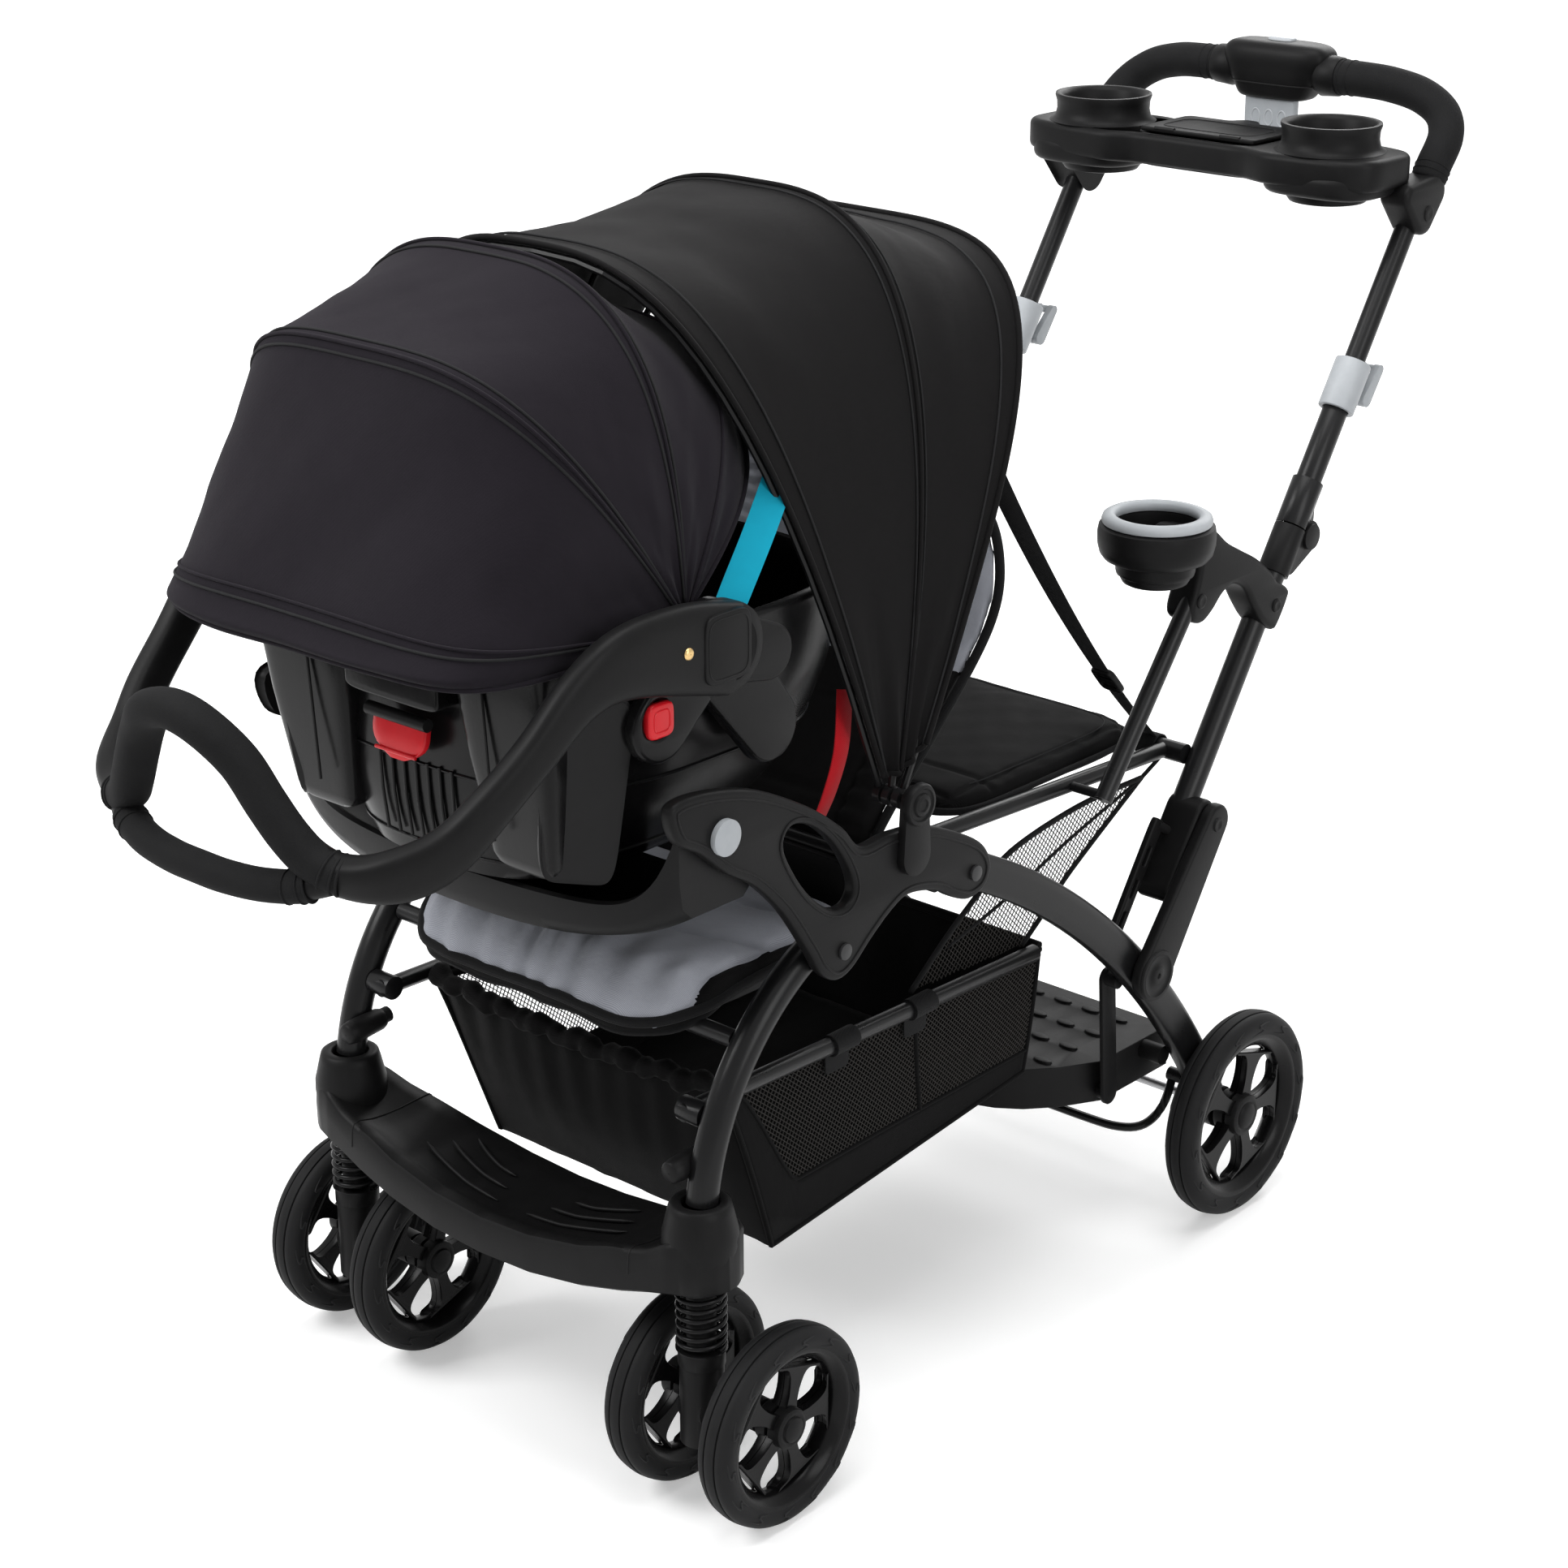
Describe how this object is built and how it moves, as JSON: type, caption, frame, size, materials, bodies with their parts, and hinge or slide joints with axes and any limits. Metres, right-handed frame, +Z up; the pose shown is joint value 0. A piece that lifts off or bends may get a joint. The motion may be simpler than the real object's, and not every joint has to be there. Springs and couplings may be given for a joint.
{
  "type": "tandem stroller",
  "caption": "Black tandem stroller with a docked infant carrier, sprung front casters, rear bench and standing platform, folding canopies, basket and sliding folding handle.",
  "frame": {"origin": "centre of the overall footprint, on the floor under the wheels", "axes": "+Z up, -Y towards the front, +X towards the stroller's left side"},
  "size_m": [0.592, 1.526, 1.1315],
  "materials": {
    "satin_tube": "satin",
    "black_plastic": "matte",
    "steel": "satin",
    "black_steel": "gloss",
    "grey_quilt": "matte",
    "black_cloth": "matte",
    "charcoal_cloth": "matte",
    "grey_plastic": "satin",
    "bow_plastic": "matte",
    "wheel": "matte",
    "foam": "matte",
    "red_plastic": "satin"
  },
  "bodies": {
    "chassis": {"front_frame": "satin_tube", "side_plates": "black_plastic", "frame_bolts": "steel", "seat_deck": "black_plastic", "front_seat_pad": "grey_quilt", "basket_rails": "satin_tube", "basket": "black_cloth", "footrest": "black_plastic", "child_tray": "black_plastic", "canopy_mounts": "black_plastic", "canopy_rear_bow": "bow_plastic", "canopy_fabric": "black_cloth", "spring_left": "black_steel", "spring_right": "black_steel"},
    "backrest": {"backrest": "grey_quilt"},
    "tray_button_left": {"tray_button_left": "grey_plastic"},
    "tray_button_right": {"tray_button_right": "grey_plastic"},
    "canopy_front": {"canopy_front_bow": "bow_plastic"},
    "canopy_mid": {"canopy_mid_bow": "bow_plastic"},
    "rear_frame": {"rear_legs": "satin_tube", "rear_axle": "steel", "standing_platform": "black_plastic", "platform_links": "satin_tube", "pivot_housings": "black_plastic", "rear_seat_rails": "satin_tube", "rear_seat_pad": "black_cloth", "lower_handle": "satin_tube", "seat_links": "satin_tube", "link_brackets": "black_plastic", "cup_holder": "black_plastic", "lower_knuckles": "black_plastic"},
    "rear_wheel_left": {"rear_wheel_left": "wheel"},
    "rear_wheel_right": {"rear_wheel_right": "wheel"},
    "brake": {"brake_bar": "satin_tube"},
    "upper_handle": {"upper_handle": "satin_tube", "clamp_collars": "grey_plastic"},
    "clamp_lever_left": {"clamp_lever_left": "grey_plastic"},
    "clamp_lever_right": {"clamp_lever_right": "grey_plastic"},
    "handlebar": {"handlebar": "satin_tube", "handle_grips": "foam", "console": "black_plastic", "parent_tray": "black_plastic"},
    "fold_trigger": {"fold_trigger": "grey_plastic"},
    "tray_lid": {"tray_lid": "black_plastic"},
    "strut_left": {"strut_left": "black_plastic"},
    "strut_right": {"strut_right": "black_plastic"},
    "fork_left": {"fork_left": "black_plastic"},
    "fork_right": {"fork_right": "black_plastic"},
    "front_wheel_left_outer": {"front_wheel_left_outer": "wheel"},
    "front_wheel_left_inner": {"front_wheel_left_inner": "wheel"},
    "front_wheel_right_inner": {"front_wheel_right_inner": "wheel"},
    "front_wheel_right_outer": {"front_wheel_right_outer": "wheel"},
    "carrier": {"carrier_shell": "black_plastic", "carrier_canopy": "charcoal_cloth", "carrier_bows": "bow_plastic"},
    "carrier_brim": {"carrier_brim_bow": "bow_plastic"},
    "carrier_handle": {"carrier_handle": "black_plastic"},
    "carrier_release": {"carrier_release": "red_plastic"},
    "carrier_button_left": {"carrier_button_left": "red_plastic"},
    "carrier_button_right": {"carrier_button_right": "red_plastic"}
  },
  "joints": [
    {"name": "frame_fold", "type": "hinge", "parent": "chassis", "child": "rear_frame", "pos_m": [0, -0.075, 0.51], "axis": [1, 0, 0], "range_deg": [-50, 0], "deforming": ["basket"]},
    {"name": "handle_fold", "type": "hinge", "parent": "rear_frame", "child": "upper_handle", "pos_m": [0, 0.49675, 0.68643], "axis": [1, 0, 0], "range_deg": [-140, 0]},
    {"name": "handle_slide", "type": "slide", "parent": "upper_handle", "child": "handlebar", "axis": [0, 0.5548, 0.832], "range_m": [-0.06, 0.03]},
    {"name": "clamp_lever_left_turn", "type": "hinge", "parent": "upper_handle", "child": "clamp_lever_left", "pos_m": [0.205, 0.58871, 0.809], "axis": [1, 0, 0], "range_deg": [-80, 0]},
    {"name": "clamp_lever_right_turn", "type": "hinge", "parent": "upper_handle", "child": "clamp_lever_right", "pos_m": [-0.205, 0.58871, 0.809], "axis": [1, 0, 0], "range_deg": [-80, 0]},
    {"name": "fold_trigger_squeeze", "type": "slide", "parent": "handlebar", "child": "fold_trigger", "axis": [0, 0, 1], "range_m": [0, 0.008], "stiffness_N_per_m": 400, "springref_m": -0.004},
    {"name": "tray_lid_open", "type": "hinge", "parent": "handlebar", "child": "tray_lid", "pos_m": [0, 0.584, 1.0486], "axis": [1, 0, 0], "range_deg": [0, 100]},
    {"name": "backrest_recline", "type": "hinge", "parent": "chassis", "child": "backrest", "pos_m": [0, -0.099, 0.4815], "axis": [1, 0, 0], "range_deg": [-20, 0]},
    {"name": "tray_button_left_press", "type": "slide", "parent": "chassis", "child": "tray_button_left", "axis": [-1, 0, 0], "range_m": [0, 0.004], "stiffness_N_per_m": 600, "springref_m": -0.003},
    {"name": "tray_button_right_press", "type": "slide", "parent": "chassis", "child": "tray_button_right", "axis": [1, 0, 0], "range_m": [0, 0.004], "stiffness_N_per_m": 600, "springref_m": -0.003},
    {"name": "canopy_fold", "type": "hinge", "parent": "chassis", "child": "canopy_front", "pos_m": [0, -0.166, 0.604], "axis": [1, 0, 0], "range_deg": [-33, 0], "deforming": ["canopy_fabric"]},
    {"name": "canopy_mid_fold", "type": "hinge", "parent": "chassis", "child": "canopy_mid", "pos_m": [0, -0.166, 0.604], "axis": [1, 0, 0], "range_deg": [-12, 0]},
    {"name": "rear_wheel_left_spin", "type": "hinge", "parent": "rear_frame", "child": "rear_wheel_left", "pos_m": [0.252, 0.366, 0.1085], "axis": [1, 0, 0], "continuous": true},
    {"name": "rear_wheel_right_spin", "type": "hinge", "parent": "rear_frame", "child": "rear_wheel_right", "pos_m": [-0.252, 0.366, 0.1085], "axis": [1, 0, 0], "continuous": true},
    {"name": "brake_turn", "type": "hinge", "parent": "rear_frame", "child": "brake", "pos_m": [0, 0.33, 0.147], "axis": [1, 0, 0], "range_deg": [-20, 0]},
    {"name": "strut_left_slide", "type": "slide", "parent": "chassis", "child": "strut_left", "axis": [0, 0, 1], "range_m": [0, 0.012], "stiffness_N_per_m": 6000, "springref_m": -0.03, "deforming": ["spring_left"]},
    {"name": "caster_left_swivel", "type": "hinge", "parent": "strut_left", "child": "fork_left", "pos_m": [0.222, -0.405, 0.15], "axis": [0, 0, 1], "continuous": true},
    {"name": "front_wheel_left_outer_spin", "type": "hinge", "parent": "fork_left", "child": "front_wheel_left_outer", "pos_m": [0.2775, -0.366, 0.0925], "axis": [1, 0, 0], "continuous": true},
    {"name": "front_wheel_left_inner_spin", "type": "hinge", "parent": "fork_left", "child": "front_wheel_left_inner", "pos_m": [0.1665, -0.366, 0.0925], "axis": [1, 0, 0], "continuous": true},
    {"name": "strut_right_slide", "type": "slide", "parent": "chassis", "child": "strut_right", "axis": [0, 0, 1], "range_m": [0, 0.012], "stiffness_N_per_m": 6000, "springref_m": -0.03, "deforming": ["spring_right"]},
    {"name": "caster_right_swivel", "type": "hinge", "parent": "strut_right", "child": "fork_right", "pos_m": [-0.222, -0.405, 0.15], "axis": [0, 0, 1], "continuous": true},
    {"name": "front_wheel_right_outer_spin", "type": "hinge", "parent": "fork_right", "child": "front_wheel_right_outer", "pos_m": [-0.2775, -0.366, 0.0925], "axis": [1, 0, 0], "continuous": true},
    {"name": "front_wheel_right_inner_spin", "type": "hinge", "parent": "fork_right", "child": "front_wheel_right_inner", "pos_m": [-0.1665, -0.366, 0.0925], "axis": [1, 0, 0], "continuous": true},
    {"name": "carrier_lift", "type": "slide", "parent": "chassis", "child": "carrier", "axis": [0, -0.9, 0.4359], "range_m": [0, 0.4]},
    {"name": "carrier_handle_turn", "type": "hinge", "parent": "carrier", "child": "carrier_handle", "pos_m": [0, -0.372, 0.79], "axis": [1, 0, 0], "range_deg": [-75, 8]},
    {"name": "carrier_brim_turn", "type": "hinge", "parent": "carrier", "child": "carrier_brim", "pos_m": [0, -0.385, 0.806], "axis": [1, 0, 0], "range_deg": [-30, 0], "deforming": ["carrier_canopy"]},
    {"name": "carrier_release_pull", "type": "hinge", "parent": "carrier", "child": "carrier_release", "pos_m": [0, -0.522, 0.718], "axis": [1, 0, 0], "range_deg": [-15, 0]},
    {"name": "carrier_button_left_press", "type": "slide", "parent": "carrier", "child": "carrier_button_left", "axis": [-1, 0, 0], "range_m": [0, 0.004], "stiffness_N_per_m": 600, "springref_m": -0.003},
    {"name": "carrier_button_right_press", "type": "slide", "parent": "carrier", "child": "carrier_button_right", "axis": [1, 0, 0], "range_m": [0, 0.004], "stiffness_N_per_m": 600, "springref_m": -0.003}
  ],
  "couplings": [
    {"joint": "canopy_mid_fold", "follows": "canopy_fold", "ratio": 0.35}
  ]
}
